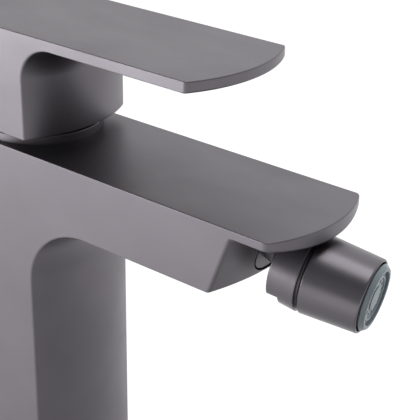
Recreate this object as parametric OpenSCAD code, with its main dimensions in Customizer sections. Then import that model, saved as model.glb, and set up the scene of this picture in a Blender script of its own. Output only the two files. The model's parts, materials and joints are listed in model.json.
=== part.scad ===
// Single-lever bidet mixer with a ball-jointed outlet nozzle.
// Millimetres. +X is the way the spout points and +Z is up.
// The origin is on the cartridge axis, at the deck face.

/* [Body] */
// Width of the column, the spout and the lever
body_w = 46; // [44:1:52]
// Bow of the curved front faces, from chord to crown
front_bow = 6.4; // [4:0.2:8]
// From the cartridge axis to the crown of the column's front and back
column_reach = 23; // [22.5:0.5:27]
// Height of the spout's top face above the deck
spout_top = 128; // [116:1:140]
// From the cartridge axis to the crown of the spout's front edge
spout_reach = 121; // [117:1:126]
// Depth of the spout block, top face to underside
spout_depth = 23; // [22:0.5:27]
// Thickness of the overhanging top plate along its sides
plate_side_t = 2.8; // [2:0.2:4]
// Thickness of the overhanging top plate at its middle
plate_mid_t = 5; // [4.2:0.2:6]
// From the cartridge axis to the foot of the slanted front face, at the middle
slant_foot = 97.4; // [95:0.2:99]
// Bow of the slanted front face across the spout
slant_bow = 3.1; // [2:0.1:5]
// Lean of the slanted front face from upright, which is also the dip of the outlet
slant_angle = 21; // [17:1:25]
// Radius of the hollow corner between column and spout
throat_r = 24; // [16:1:28]
// Width of the waterway along the spout
waterway_w = 28; // [12:1:30]
// Height of the waterway along the spout
waterway_h = 9; // [6:0.5:10]
// From the spout's top face down to the middle of the waterway
waterway_drop = 12; // [10:0.5:13]
// Wall round the cored hot and cold chambers in the column
core_wall = 4.5; // [3:0.5:6]
// Half the wall between the two chambers
core_web = 2; // [1.5:0.25:3]
// Metal between the chambers and the cartridge seat
core_roof = 10; // [6:0.5:14]
// Metal between the chambers and the ends of the inlets and the stud
core_floor = 2; // [2:0.5:6]

/* [Deck fixing] */
// Thickness of the deck that the mixer clamps
deck_t = 18; // [5:1:30]
// Radius of the fixing stud's thread
stud_r = 4; // [3:0.5:4]
// From the cartridge axis back to the fixing stud
stud_back = 12.5; // [11:0.5:14]
// Depth of the stud in the body
stud_depth = 14; // [10:1:20]
// Stud length left below the nut
stud_tail = 6; // [2:1:20]
// Outside radius of the horseshoe plate and pad
shoe_r = 26; // [24:1:30]
// Half the width of the horseshoe's slot
shoe_slot = 14.5; // [13:0.5:16]
// Metal between the stud's hole and the slot
shoe_web = 2; // [1:0.25:3]
// Radial play of the stud in the horseshoe
stud_play = 0.3; // [0.1:0.1:0.8]
// Thickness of the rubber pad
pad_t = 3; // [2:0.5:5]
// Thickness of the steel plate
shoe_t = 2.5; // [1.5:0.5:4]
// Height of the fixing nut
nut_h = 8; // [5:0.5:12]
// Width of the fixing nut across its flats
nut_flats = 13; // [12:0.5:17]
// Wall radius of the hose inlets
inlet_r = 4.5; // [4:0.1:4.6]
// Threaded depth of the hose inlets
inlet_depth = 12; // [8:1:16]
// Forward offset of the inlets from the cartridge axis
inlet_x = 5; // [4:0.5:6]
// Half the distance between the inlets
inlet_y = 7; // [6.5:0.25:8]
// Inside radius of the base seal's groove
seal_in_r = 18.6; // [18:0.1:19]
// Width of the base seal
seal_w = 2.4; // [1.5:0.1:3]
// Height of the base seal
seal_h = 2; // [1:0.25:3]

/* [Cartridge] */
// Radius of the cartridge body
cartridge_r = 17.5; // [16.5:0.25:18]
// From the cartridge seat to the spout's top face
seat_drop = 30; // [29:0.5:34]
// Thickness of the cartridge base
base_t = 9; // [7:0.5:9.5]
// Radius of the water ports
port_r = 3.2; // [2.5:0.1:3.5]
// Height of the port seals
port_seal_h = 1.6; // [1:0.1:2]
// Width of the port seals
port_seal_w = 1.6; // [1:0.1:2]
// Thickness of each ceramic disc
disc_t = 3; // [2:0.25:3]
// Radius of the fixed ceramic disc
fixed_disc_r = 15; // [14.5:0.25:15.3]
// Radius of the moving ceramic disc and its carrier
moving_disc_r = 9.5; // [8:0.25:10]
// Depth of the well under the moving disc, which joins the ports
well_depth = 1.4; // [1:0.1:1.8]
// Wall round that well
well_wall = 2.5; // [2:0.25:3]
// Height of the disc carrier
carrier_h = 5; // [4:0.5:5.5]
// Wall of the cartridge housing
housing_wall = 1.9; // [1.5:0.1:2.2]
// Width of the housing's outlet window
window_w = 9; // [6:0.5:12]
// Thickness of the housing's shoulder
shoulder_t = 3; // [2:0.25:3]
// Radius of the turret that the lever turns
turret_r = 10; // [9:0.25:10.5]
// Wall of the housing's neck round the turret
neck_wall = 3.2; // [2:0.2:3.5]
// From the top of the housing's neck up to the cap ring's top
neck_drop = 1; // [0.5:0.25:1.5]
// Width of the turret's flange
flange_w = 4; // [2:0.25:4.5]
// End play of the turret's flange
flange_play = 0.2; // [0.1:0.05:0.4]
// Turret height above the pivot pin
pin_cover = 2.5; // [2:0.25:2.75]
// From each end of the pivot pin to the turret's side
pin_inset = 1.25; // [0.5:0.25:2]
// Radius of the pivot pin
pin_r = 1.5; // [1.2:0.1:2]
// Height of the pivot pin above the spout's top face
pivot_rise = 3; // [2.5:0.25:3.5]
// Thickness of the stem across the pin
stem_w = 6.4; // [5:0.2:7]
// Thickness of the stem along the lever
stem_depth = 6; // [5:0.25:6.5]
// Gap between the disc carrier and the stem's block
stem_clear = 0.7; // [0.5:0.1:1]
// Radius of the stem's ball tip
tip_r = 2.5; // [2:0.1:2.6]
// Radius of the neck above the ball tip
tip_neck_r = 1.9; // [1.5:0.1:2]
// How far the ball tip stands above the disc carrier
tip_rise = 1; // [0.5:0.1:1.2]
// Radial play of the ball tip in the carrier
tip_play = 0.2; // [0.15:0.01:0.3]
// Turret slot behind the stem
slot_back_play = 2.4; // [2:0.1:3]
// Turret slot before the stem at full lift
slot_front_play = 0.6; // [0.4:0.1:1]
// Radius of the retaining nut's thread
retainer_r = 19.4; // [19:0.1:20]
// Height of the retaining nut
retainer_h = 4; // [3:0.25:4]
// Width of the key notches in the retaining nut
notch_w = 4; // [3:0.25:5]
// Depth of those notches from the side
notch_depth = 2; // [1:0.25:3]
// Metal left under those notches
notch_floor = 1.5; // [1:0.25:2]
// Outside radius of the cap ring
cap_r = 21.2; // [20.6:0.1:22]
// Height of the cap ring
cap_h = 3; // [2:0.25:3.2]
// Bevel of the cap ring's edge
cap_bevel = 0.6; // [0.3:0.1:1]
// Radius of the cap ring's dome about the pivot
dome_r = 15; // [14.6:0.1:15.2]
// Wall of the dome
dome_wall = 1.1; // [0.8:0.1:1.2]
// Height of the dome above the ring
dome_h = 5; // [3:0.5:5.5]

/* [Lever] */
// Gap between the spout's top face and the lever block
lever_gap = 4.2; // [4:0.2:6]
// Height of the lever block
lever_h = 35.7; // [33:0.5:40]
// Thickness of the lever plate
lever_t = 3.6; // [3:0.2:5]
// From the cartridge axis to the crown of the lever's front edge
lever_reach = 91; // [70:1:110]
// Radius of the hollow corner under the lever plate
lever_throat_r = 12; // [8:1:16]
// Lift of the lever from shut to full flow
lift_angle = 22; // [16:1:23]
// Radius of the hollow that clears the turret
hollow_r = 16; // [15:0.5:17]
// Height of that hollow
hollow_h = 8; // [7.5:0.5:10]
// Side of the stem's square end
square_w = 8; // [7:0.5:9]
// Length of the stem's square end in the lever
square_len = 14; // [10:1:16]
// Radius of the boss that takes the stem
boss_r = 9; // [8.5:0.25:10]
// Thickness of the metal over the lever's hollow
lever_roof = 6; // [5:0.5:9]
// Radius of the grub screw
grub_r = 2.5; // [2:0.25:3]
// Length of the grub screw
grub_len = 9; // [6:1:10]
// Radius of the grub screw's hexagon socket
hex_r = 1.4; // [1:0.1:1.6]
// Depth of that socket
hex_depth = 2.5; // [1.5:0.25:3]
// Radius of the plug that hides the grub screw
plug_r = 3.6; // [3.3:0.1:5]
// Depth of the plug
plug_t = 3; // [2:0.25:4]
// How far the plug sits below the crown of the lever's back
plug_sink = 0.4; // [0.3:0.05:0.6]

/* [Outlet nozzle] */
// Radius of the ball
ball_r = 7.5; // [7:0.1:7.6]
// From the slanted face to the ball's centre
ball_out = 9.3; // [8.9:0.1:11]
// Height of the ball's centre above the spout's underside
ball_rise = 5.3; // [4:0.1:5.8]
// Radius of the ball's neck
neck_r = 4.2; // [3.6:0.1:4.4]
// Radius of the hole through the ball and neck
neck_bore = 2.8; // [2:0.1:3]
// Radius of the recess round the neck
recess_r = 8.5; // [8.2:0.1:9]
// Depth of that recess
recess_depth = 2.6; // [2:0.1:3]
// Radius of the neck's thread
neck_thread_r = 6.5; // [5.5:0.1:7]
// Length of the neck's thread
neck_thread_len = 10; // [7:0.5:11]
// Thickness of the neck's flange
neck_flange_t = 1.2; // [0.8:0.1:1.4]
// Thickness of the neck's seal
neck_seal_t = 1; // [0.6:0.1:1.2]
// Gap round the neck's flange and seal
neck_flange_gap = 0.6; // [0.3:0.1:1]
// Thickness of the rings that bear on the ball
ring_t = 1.1; // [0.8:0.1:1.2]
// Start of the friction ring, as an angle from the nozzle's axis
grip_from = 72; // [65:1:75]
// End of the friction ring, as an angle from the nozzle's axis
grip_to = 92; // [88:1:96]
// Start of the ball seal, as an angle from the nozzle's axis
lip_from = 24; // [22:1:28]
// End of the ball seal, as an angle from the nozzle's axis
lip_to = 40; // [36:1:44]
// Outside radius of the collar at its back
collar_back_r = 11.6; // [11.4:0.1:12]
// Outside radius of the collar and the sleeve where they meet
collar_r = 12.5; // [12.2:0.1:13]
// From the ball's centre to the front of the collar
collar_front = 4.4; // [4:0.1:6]
// Bevel of the collar's back edge
collar_bevel = 0.6; // [0.3:0.1:0.8]
// Radius of the bore from the ball to the aerator
collar_bore_r = 7.5; // [7:0.1:7.8]
// Angle of the collar's mouth from the nozzle's axis
mouth_angle = 57; // [55:1:58]
// Half the width across the collar's spanner flats
flat_half = 10.5; // [10.3:0.1:11]
// Length of the spanner flats
flat_len = 4; // [2.5:0.25:5]
// Turn of the spanner flats about the nozzle's axis
flat_turn = -35; // [-90:5:90]
// Dark groove between the collar and the sleeve
groove_w = 0.7; // [0.4:0.1:1]
// Depth of that groove
groove_depth = 1.4; // [0.8:0.1:1.6]
// Length of the sleeve
sleeve_len = 18.8; // [17:0.2:24]
// Outside radius of the sleeve at its front
sleeve_front_r = 11.6; // [11.5:0.1:12.5]
// Bevel of the sleeve's back edge
sleeve_bevel = 0.8; // [0.2:0.1:1]
// Bevel of the sleeve's front rim
rim_bevel = 0.6; // [0.3:0.1:0.8]
// Width of the dark gap between the rim and the aerator
rim_gap = 0.4; // [0.2:0.1:0.5]
// Depth of that gap
rim_gap_depth = 2; // [1:0.25:3]
// Radius of the thread between collar and sleeve
spigot_r = 10.4; // [10.2:0.1:10.6]
// Length of the collar's thread in the sleeve
spigot_len = 7; // [5:0.5:7.5]
// Radius of the aerator housing
aerator_r = 10.5; // [10:0.1:10.6]
// How far the aerator stands out of the sleeve
aerator_out = 1.8; // [0.5:0.1:3]
// From the collar's thread to the aerator, filled by a seal
aerator_gap = 1.2; // [0.8:0.1:2]
// Bevel of the aerator's face, measured across
face_bevel = 1; // [0.5:0.1:1.5]
// Bevel of the aerator's face, measured along the axis
face_slope = 1.2; // [0.6:0.1:1.6]
// Height of the aerator's straight edge below that bevel
face_edge = 0.2; // [0.1:0.05:0.4]
// Radius of the aerator's neck, which makes a dark slot below that edge
aerator_neck_r = 9.7; // [9.5:0.1:9.9]
// Width of the flat rim of the aerator's face
face_rim = 1; // [0.6:0.1:1.4]
// How far the grille sits behind the aerator's face
grille_sink = 0.6; // [0.2:0.1:1]
// Thickness of the grille
grille_t = 4; // [2:0.25:5]
// Height of the rings on the grille
grille_relief = 0.35; // [0.2:0.05:0.6]
// Outside radius of the grille's outer ring
grille_ring_out = 7.2; // [7:0.1:7.6]
// Inside radius of the grille's outer ring
grille_ring_in = 6.3; // [6:0.1:6.6]
// Radius of the grille's raised middle
grille_hub_r = 3.8; // [3:0.1:4.2]
// Radius of the grille's water holes
grille_hole_r = 0.55; // [0.4:0.05:0.8]
// Radius of the circle of water holes
grille_hole_ring = 5.15; // [4.8:0.05:5.4]
// Thickness of the wire screen
screen_t = 1.2; // [0.6:0.1:1.6]
// Radius of the inner circle of openings in the screen
screen_inner_ring = 3; // [2.5:0.1:3.5]
// Radius of the outer circle of openings in the screen
screen_outer_ring = 5.6; // [5:0.1:6]
// Radius of the openings in the screen
screen_hole_r = 0.7; // [0.4:0.05:0.9]
// Turn of the nozzle to the left of the outlet's own line, as set in the rest pose
rest_yaw = 13; // [-16:1:16]
// Dip of the nozzle from the outlet's own line, as set in the rest pose
rest_dip = -11; // [-16:1:16]

/* [Fits] */
// Radial clearance of turning and sliding fits
run_gap = 0.08; // [0.05:0.01:0.1]
// Clearance between pieces that are screwed or pushed together
seat_gap = 0.05; // [0.03:0.01:0.1]
// Clearance between the ball, its rings and the collar
ball_gap = 0.15; // [0.1:0.01:0.2]

/* [Hidden] */
$fn = 96;
eps = 0.01;
lap = 1;
big = 400;

finish = [0.50, 0.48, 0.51];
steel = [0.72, 0.72, 0.74];
brass = [0.80, 0.66, 0.36];
rubber = [0.10, 0.10, 0.11];
ceramic = [0.93, 0.92, 0.89];
acetal = [0.88, 0.88, 0.85];
aerator_grey = [0.52, 0.57, 0.60];

half_w = body_w / 2;
function bow_radius(chord, bow) = (chord * chord / 4 + bow * bow) / (2 * bow);
bow_r = bow_radius(body_w, front_bow);
column_arc_x = column_reach - bow_r;
spout_under = spout_top - spout_depth;
slant_r = bow_radius(body_w, slant_bow);
plate_crown_r = bow_radius(body_w, plate_mid_t - plate_side_t);

seat_z = spout_top - seat_drop;
disc_z = seat_z + base_t;
moving_z = disc_z + disc_t + run_gap;
carrier_z = moving_z + disc_t;
carrier_top = carrier_z + carrier_h;
retainer_z = spout_top - retainer_h;
shoulder_z = retainer_z - shoulder_t;
chamber_r = cartridge_r + seat_gap;
housing_in_r = cartridge_r - housing_wall;
neck_out_r = turret_r + run_gap + neck_wall;
neck_top = spout_top + cap_h - neck_drop;
pivot_z = spout_top + pivot_rise;
turret_top = pivot_z + pin_r + pin_cover;
turret_flange_r = turret_r + flange_w;
turret_flange_t = shoulder_z - carrier_top - 2 * run_gap - flange_play;
tip_z = carrier_top - tip_r + tip_rise;
tip_arm = pivot_z - tip_z;
tip_travel = tip_arm * sin(lift_angle);
disc_rest_x = -tip_travel / 2;
stem_z = carrier_top + stem_clear;
waterway_z = spout_top - waterway_drop;
core_z = max(inlet_depth, stud_depth) + core_floor;
core_h = seat_z - core_roof - core_z;
core_x = column_reach - 2 * core_wall;
core_y = half_w - core_wall;

lever_z = spout_top + lever_gap;
lever_top = lever_z + lever_h;
hollow_top = lever_z + hollow_h;
grub_z = hollow_top + square_len / 2;

pad_z = -deck_t - pad_t;
shoe_z = pad_z - shoe_t;
nut_z = shoe_z - nut_h;

// The outlet's own line leaves the slanted face square, and the ball sits on it.
face_at_ball_x = slant_foot + ball_rise * tan(slant_angle);
ball_x = face_at_ball_x + ball_out / cos(slant_angle);
ball_z = spout_under + ball_rise;
socket_r = ball_r + 2 * ball_gap + ring_t;
collar_back = -socket_r * cos(mouth_angle);
sleeve_start = collar_front + groove_w;
sleeve_end = sleeve_start + sleeve_len;
spigot_end = sleeve_start + spigot_len;
aerator_start = spigot_end + aerator_gap;
aerator_face = sleeve_end + aerator_out;
aerator_bore_r = aerator_r - face_bevel - face_rim;
grille_r = aerator_bore_r - seat_gap;
grille_z = aerator_face - grille_sink - grille_t;

// Plan with flat sides and a bowed front whose crown is at reach
module bowed_plan(reach, back) {
    arc_x = reach - bow_r;
    intersection() {
        translate([back, -half_w])
            square([reach - back, body_w]);
        union() {
            translate([arc_x, 0])
                circle(r = bow_r);
            translate([back, -half_w])
                square([max(arc_x - back, eps), body_w]);
        }
    }
}

// Column plan: flat sides, bowed front and back
module column_plan() {
    intersection() {
        translate([column_arc_x, 0])
            circle(r = bow_r);
        translate([-column_arc_x, 0])
            circle(r = bow_r);
        square([4 * column_reach, body_w], center = true);
    }
}

// Hollow corner that runs along the bowed front, under a face at height z
module throat(z, r) {
    intersection() {
        translate([column_arc_x, 0, 0])
            rotate_extrude()
                difference() {
                    translate([bow_r - 2 * lap, z - r])
                        square([r + 2 * lap, r + lap]);
                    translate([bow_r + r, z - r])
                        circle(r = r);
                }
        translate([0, -half_w, z - r])
            cube([big, body_w, r + lap]);
    }
}

module ring(outer, inner, h) {
    difference() {
        cylinder(r = outer, h = h);
        translate([0, 0, -lap])
            cylinder(r = inner, h = h + 2 * lap);
    }
}

// Frame of the outlet: local +X is the outlet's own line, at the ball's centre
module at_outlet() {
    translate([ball_x, 0, ball_z])
        rotate([0, slant_angle, 0])
            children();
}

// Frame of the nozzle: local +Z is the nozzle's axis, at the ball's centre
module at_nozzle() {
    at_outlet()
        rotate([0, 0, rest_yaw])
            rotate([0, 90 + rest_dip, 0])
                children();
}

// Part of a ball-shaped shell between two angles from the nozzle's axis
module ball_band(inner, outer, from_angle, to_angle) {
    rotate_extrude()
        intersection() {
            difference() {
                circle(r = outer);
                circle(r = inner);
            }
            polygon([
                [0, 0],
                [big * sin(from_angle), big * cos(from_angle)],
                [big, big * cos(from_angle)],
                [big, big * cos(to_angle)],
                [big * sin(to_angle), big * cos(to_angle)]
            ]);
        }
}

module spout_plate() {
    intersection() {
        translate([0, 0, spout_top - plate_mid_t])
            linear_extrude(plate_mid_t)
                bowed_plan(spout_reach, 0);
        translate([0, 0, spout_top - plate_mid_t + plate_crown_r])
            rotate([0, 90, 0])
                cylinder(r = plate_crown_r, h = big);
    }
}

module spout_block() {
    intersection() {
        translate([0, -half_w, spout_under])
            cube([spout_reach, body_w, spout_depth]);
        translate([slant_foot, 0, spout_under])
            rotate([0, slant_angle, 0])
                translate([-slant_r, 0, -big / 2])
                    cylinder(r = slant_r, h = big);
    }
}

module body() {
    thread_end = ball_out + recess_depth + neck_thread_len + lap;
    color(finish)
        difference() {
            union() {
                linear_extrude(spout_top)
                    column_plan();
                spout_block();
                spout_plate();
                throat(spout_under, throat_r);
            }
            translate([0, 0, seat_z])
                cylinder(r = chamber_r, h = big);
            translate([0, 0, retainer_z])
                cylinder(r = retainer_r + seat_gap, h = big);
            for (side = [-1, 1])
                translate([inlet_x, side * inlet_y, -lap]) {
                    cylinder(r = inlet_r, h = inlet_depth + lap);
                    cylinder(r = port_r, h = seat_z + 2 * lap);
                }
            // Cored chambers that lead the hot and the cold water up
            for (side = [-1, 1])
                translate([0, side * (core_y + core_web) / 2, core_z + core_h / 2])
                    cube([2 * core_x, core_y - core_web, core_h], center = true);
            translate([-stud_back, 0, -lap])
                cylinder(r = stud_r + seat_gap, h = stud_depth + lap);
            translate([0, 0, -lap])
                difference() {
                    cylinder(r = seal_in_r + seal_w + 2 * seat_gap, h = seal_h + seat_gap + lap);
                    cylinder(r = seal_in_r, h = big);
                }
            translate([0, -waterway_w / 2, waterway_z - waterway_h / 2])
                cube([face_at_ball_x - recess_depth - neck_thread_len, waterway_w, waterway_h]);
            at_outlet()
                rotate([0, -90, 0]) {
                    cylinder(r = recess_r, h = ball_out + recess_depth);
                    cylinder(r = neck_thread_r + seat_gap, h = thread_end);
                }
        }
}

module base_seal() {
    color(rubber)
        ring(seal_in_r + seal_w + seat_gap, seal_in_r + seat_gap, seal_h);
}

module fixing_stud() {
    color(steel)
        translate([-stud_back, 0, nut_z - stud_tail])
            cylinder(r = stud_r, h = stud_depth - seat_gap - nut_z + stud_tail);
}

// Horseshoe open to the front, so that it slides in past the hoses
module horseshoe(t) {
    slot_end = -stud_back + stud_r + shoe_web;
    difference() {
        cylinder(r = shoe_r, h = t);
        translate([slot_end, -shoe_slot, -lap])
            cube([big, 2 * shoe_slot, t + 2 * lap]);
        translate([-stud_back, 0, -lap])
            cylinder(r = stud_r + stud_play, h = t + 2 * lap);
    }
}

module horseshoe_pad() {
    color(rubber)
        translate([0, 0, pad_z])
            horseshoe(pad_t);
}

module horseshoe_plate() {
    color(steel)
        translate([0, 0, shoe_z])
            horseshoe(shoe_t);
}

module fixing_nut() {
    color(brass)
        translate([-stud_back, 0, nut_z])
            difference() {
                cylinder(r = nut_flats / 2 / cos(30), h = nut_h, $fn = 6);
                translate([0, 0, -lap])
                    cylinder(r = stud_r + seat_gap, h = nut_h + 2 * lap);
            }
}

module ports(h) {
    for (side = [-1, 1])
        translate([inlet_x, side * inlet_y, -lap])
            cylinder(r = port_r, h = h + 2 * lap);
}

// Counterbores under the base hold the port seals
module cartridge_base() {
    color(acetal)
        translate([0, 0, seat_z])
            difference() {
                cylinder(r = cartridge_r, h = base_t);
                ports(base_t);
                for (side = [-1, 1])
                    translate([inlet_x, side * inlet_y, -lap])
                        cylinder(r = port_r + port_seal_w + seat_gap, h = port_seal_h + lap);
            }
}

module port_seals() {
    color(rubber)
        for (side = [-1, 1])
            translate([inlet_x, side * inlet_y, seat_z])
                ring(port_r + port_seal_w, port_r, port_seal_h);
}

module fixed_disc() {
    color(ceramic)
        translate([0, 0, disc_z])
            difference() {
                cylinder(r = fixed_disc_r, h = disc_t);
                ports(disc_t);
            }
}

module cartridge_housing() {
    window_h = carrier_h + disc_t;
    color(acetal)
        difference() {
            union() {
                translate([0, 0, disc_z])
                    cylinder(r = cartridge_r, h = retainer_z - disc_z);
                translate([0, 0, shoulder_z])
                    cylinder(r = neck_out_r, h = neck_top - shoulder_z);
            }
            translate([0, 0, disc_z - lap])
                cylinder(r = housing_in_r, h = shoulder_z - disc_z + lap);
            translate([0, 0, disc_z])
                cylinder(r = turret_r + run_gap, h = big);
            translate([0, -window_w / 2, moving_z])
                cube([big, window_w, window_h]);
        }
}

module retaining_nut() {
    color(brass)
        translate([0, 0, retainer_z])
            difference() {
                ring(retainer_r, neck_out_r + seat_gap, retainer_h);
                for (turn = [0:60:300])
                    rotate(turn)
                        translate([retainer_r - notch_depth, -notch_w / 2, notch_floor])
                            cube([2 * notch_depth, notch_w, retainer_h]);
            }
}

// Trim ring with a dome about the pivot, so that the lever clears it at any lift
module cap_ring() {
    color(finish)
        rotate_extrude() {
            translate([0, spout_top])
                polygon([
                    [neck_out_r + seat_gap, 0],
                    [cap_r, 0],
                    [cap_r, cap_h - cap_bevel],
                    [cap_r - cap_bevel, cap_h],
                    [neck_out_r + seat_gap, cap_h]
                ]);
            intersection() {
                translate([0, pivot_z])
                    difference() {
                        circle(r = dome_r);
                        circle(r = dome_r - dome_wall);
                    }
                translate([0, spout_top + cap_h / 2])
                    square([cap_r, dome_h + cap_h / 2]);
            }
        }
}

// The neck's flange clamps its seal in the recess
module ball_neck() {
    thread_from = ball_out + recess_depth + seat_gap;
    flange_from = ball_out + recess_depth - neck_seal_t - neck_flange_t;
    color(finish)
        at_outlet()
            rotate([0, -90, 0])
                difference() {
                    union() {
                        sphere(r = ball_r);
                        cylinder(r = neck_r, h = thread_from);
                        translate([0, 0, flange_from])
                            cylinder(r = recess_r - neck_flange_gap, h = neck_flange_t);
                        translate([0, 0, flange_from])
                            cylinder(r = neck_thread_r, h = thread_from - flange_from + neck_thread_len);
                    }
                    translate([0, 0, -ball_r - lap])
                        cylinder(r = neck_bore, h = big);
                }
}

module neck_seal() {
    color(rubber)
        at_outlet()
            rotate([0, -90, 0])
                translate([0, 0, ball_out + recess_depth - neck_seal_t])
                    ring(recess_r - neck_flange_gap, neck_thread_r + seat_gap, neck_seal_t);
}

module turret() {
    slot_back = stem_depth / 2 + slot_back_play;
    slot_front = tip_travel + stem_depth / 2 + slot_front_play;
    flange_z = shoulder_z - run_gap - turret_flange_t;
    color(acetal)
        difference() {
            union() {
                translate([0, 0, flange_z])
                    cylinder(r = turret_r, h = turret_top - flange_z);
                translate([0, 0, flange_z])
                    cylinder(r = turret_flange_r, h = turret_flange_t);
            }
            translate([-slot_back, -stem_w / 2 - run_gap, flange_z - lap])
                cube([slot_back + slot_front, stem_w + 2 * run_gap, big]);
            translate([0, 0, pivot_z])
                rotate([90, 0, 0])
                    cylinder(r = pin_r + seat_gap, h = big, center = true);
        }
}

module pivot_pin() {
    pin_len = 2 * (turret_r - pin_inset);
    color(steel)
        translate([0, 0, pivot_z])
            rotate([90, 0, 0])
                cylinder(r = pin_r, h = pin_len, center = true);
}

module lever_stem() {
    square_z = hollow_top - lap;
    color(steel)
        difference() {
            union() {
                translate([-stem_depth / 2, -stem_w / 2, stem_z])
                    cube([stem_depth, stem_w, square_z + lap - stem_z]);
                translate([0, 0, tip_z])
                    cylinder(r = tip_neck_r, h = stem_z + lap - tip_z);
                translate([0, 0, tip_z])
                    sphere(r = tip_r);
                translate([-square_w / 2, -square_w / 2, square_z])
                    cube([square_w, square_w, square_len + lap - seat_gap]);
            }
            translate([0, 0, pivot_z])
                rotate([90, 0, 0])
                    cylinder(r = pin_r + run_gap, h = big, center = true);
        }
}

module lever_handle() {
    color(finish)
        difference() {
            union() {
                translate([0, 0, lever_z])
                    linear_extrude(lever_h)
                        column_plan();
                translate([0, 0, lever_top - lever_t])
                    linear_extrude(lever_t)
                        bowed_plan(lever_reach, 0);
                throat(lever_top - lever_t, lever_throat_r);
            }
            translate([0, 0, lever_z - lap])
                cylinder(r = hollow_r, h = hollow_h + lap);
            // Room round the boss that takes the stem
            translate([0, 0, hollow_top - eps])
                ring(hollow_r, boss_r, lever_top - lever_roof - hollow_top);
            translate([-square_w / 2 - seat_gap, -square_w / 2 - seat_gap, hollow_top - lap])
                cube([square_w + 2 * seat_gap, square_w + 2 * seat_gap, square_len + lap]);
            // Relief that lets the back of the block dip as the lever lifts
            translate([0, 0, lever_z])
                rotate([0, lift_angle, 0])
                    translate([-big, -big / 2, -big])
                        cube([big, big, big]);
            translate([0, 0, grub_z])
                rotate([0, -90, 0]) {
                    cylinder(r = grub_r + seat_gap, h = big);
                    translate([0, 0, column_reach - plug_t])
                        cylinder(r = plug_r + seat_gap, h = big);
                }
        }
}

module grub_screw() {
    color(steel)
        translate([-square_w / 2, 0, grub_z])
            rotate([0, -90, 0])
                difference() {
                    cylinder(r = grub_r, h = grub_len);
                    translate([0, 0, grub_len - hex_depth])
                        cylinder(r = hex_r, h = hex_depth + lap, $fn = 6);
                }
}

module screw_plug() {
    color(finish)
        translate([-column_reach + plug_t, 0, grub_z])
            rotate([0, -90, 0])
                cylinder(r = plug_r, h = plug_t - plug_sink);
}

module disc_carrier() {
    color(acetal)
        translate([0, 0, carrier_z])
            difference() {
                translate([disc_rest_x, 0, 0])
                    cylinder(r = moving_disc_r, h = carrier_h);
                translate([0, 0, tip_z - tip_r - tip_play - carrier_z])
                    cylinder(r = tip_r + tip_play, h = big);
            }
}

module moving_disc() {
    color(ceramic)
        translate([disc_rest_x, 0, moving_z])
            difference() {
                cylinder(r = moving_disc_r, h = disc_t);
                translate([0, 0, -lap])
                    cylinder(r = moving_disc_r - well_wall, h = well_depth + lap);
            }
}

module friction_ring() {
    color(acetal)
        at_nozzle()
            ball_band(ball_r + ball_gap, ball_r + ball_gap + ring_t, grip_from, grip_to);
}

module ball_seal() {
    color(rubber)
        at_nozzle()
            ball_band(ball_r + ball_gap, ball_r + ball_gap + ring_t, lip_from, lip_to);
}

module nozzle_collar() {
    color(finish)
        at_nozzle()
            difference() {
                rotate_extrude()
                    polygon([
                        [0, collar_back],
                        [collar_back_r - collar_bevel, collar_back],
                        [collar_back_r, collar_back + collar_bevel],
                        [collar_r, collar_front],
                        [collar_r - groove_depth, collar_front],
                        [collar_r - groove_depth, sleeve_start],
                        [spigot_r, sleeve_start],
                        [spigot_r, spigot_end],
                        [0, spigot_end]
                    ]);
                sphere(r = socket_r);
                cylinder(r = collar_bore_r, h = big);
                rotate([180, 0, 0])
                    cylinder(r1 = 0, r2 = big * tan(mouth_angle), h = big);
                for (side = [0, 180])
                    rotate([0, 0, flat_turn + side])
                        translate([flat_half, -big / 2, collar_back - lap])
                            cube([big, big, flat_len + lap]);
            }
}

module nozzle_sleeve() {
    bore_r = spigot_r + seat_gap;
    color(finish)
        at_nozzle()
            rotate_extrude()
                polygon([
                    [bore_r, sleeve_start],
                    [collar_r - sleeve_bevel, sleeve_start],
                    [collar_r, sleeve_start + sleeve_bevel],
                    [sleeve_front_r, sleeve_end - rim_bevel],
                    [sleeve_front_r - rim_bevel / 2, sleeve_end],
                    [aerator_r + rim_gap, sleeve_end],
                    [aerator_r + rim_gap, sleeve_end - rim_gap_depth],
                    [aerator_r + seat_gap, sleeve_end - rim_gap_depth],
                    [aerator_r + seat_gap, aerator_start],
                    [bore_r, aerator_start]
                ]);
}

// Cup with a bevelled face that stands out of the sleeve, over a narrower neck
module aerator_housing() {
    edge_z = aerator_face - face_slope - face_edge;
    color(aerator_grey)
        at_nozzle()
            rotate_extrude()
                polygon([
                    [aerator_bore_r, aerator_start],
                    [aerator_r, aerator_start],
                    [aerator_r, sleeve_end - rim_gap_depth],
                    [aerator_neck_r, sleeve_end - rim_gap_depth],
                    [aerator_neck_r, edge_z],
                    [aerator_r, edge_z],
                    [aerator_r, edge_z + face_edge],
                    [aerator_r - face_bevel, aerator_face],
                    [aerator_bore_r, aerator_face]
                ]);
}

// Circle of round holes through a disc of thickness t
module hole_circle(circle_r, count, r, t) {
    for (i = [0:count - 1])
        rotate(360 * i / count)
            translate([circle_r, 0, -lap])
                cylinder(r = r, h = t + 2 * lap);
}

// Face of the aerator: two raised rings and a circle of water holes between them
module aerator_grille() {
    floor_t = grille_t - grille_relief;
    color(aerator_grey)
        at_nozzle()
            translate([0, 0, grille_z])
                difference() {
                    union() {
                        cylinder(r = grille_r, h = floor_t);
                        ring(grille_ring_out, grille_ring_in, grille_t);
                        cylinder(r = grille_hub_r, h = grille_t);
                    }
                    hole_circle(grille_hole_ring, 12, grille_hole_r, grille_t);
                }
}

module aerator_screen() {
    color(steel)
        at_nozzle()
            translate([0, 0, grille_z - screen_t])
                difference() {
                    cylinder(r = grille_r, h = screen_t);
                    hole_circle(screen_inner_ring, 8, screen_hole_r, screen_t);
                    hole_circle(screen_outer_ring, 16, screen_hole_r, screen_t);
                }
}

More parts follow.
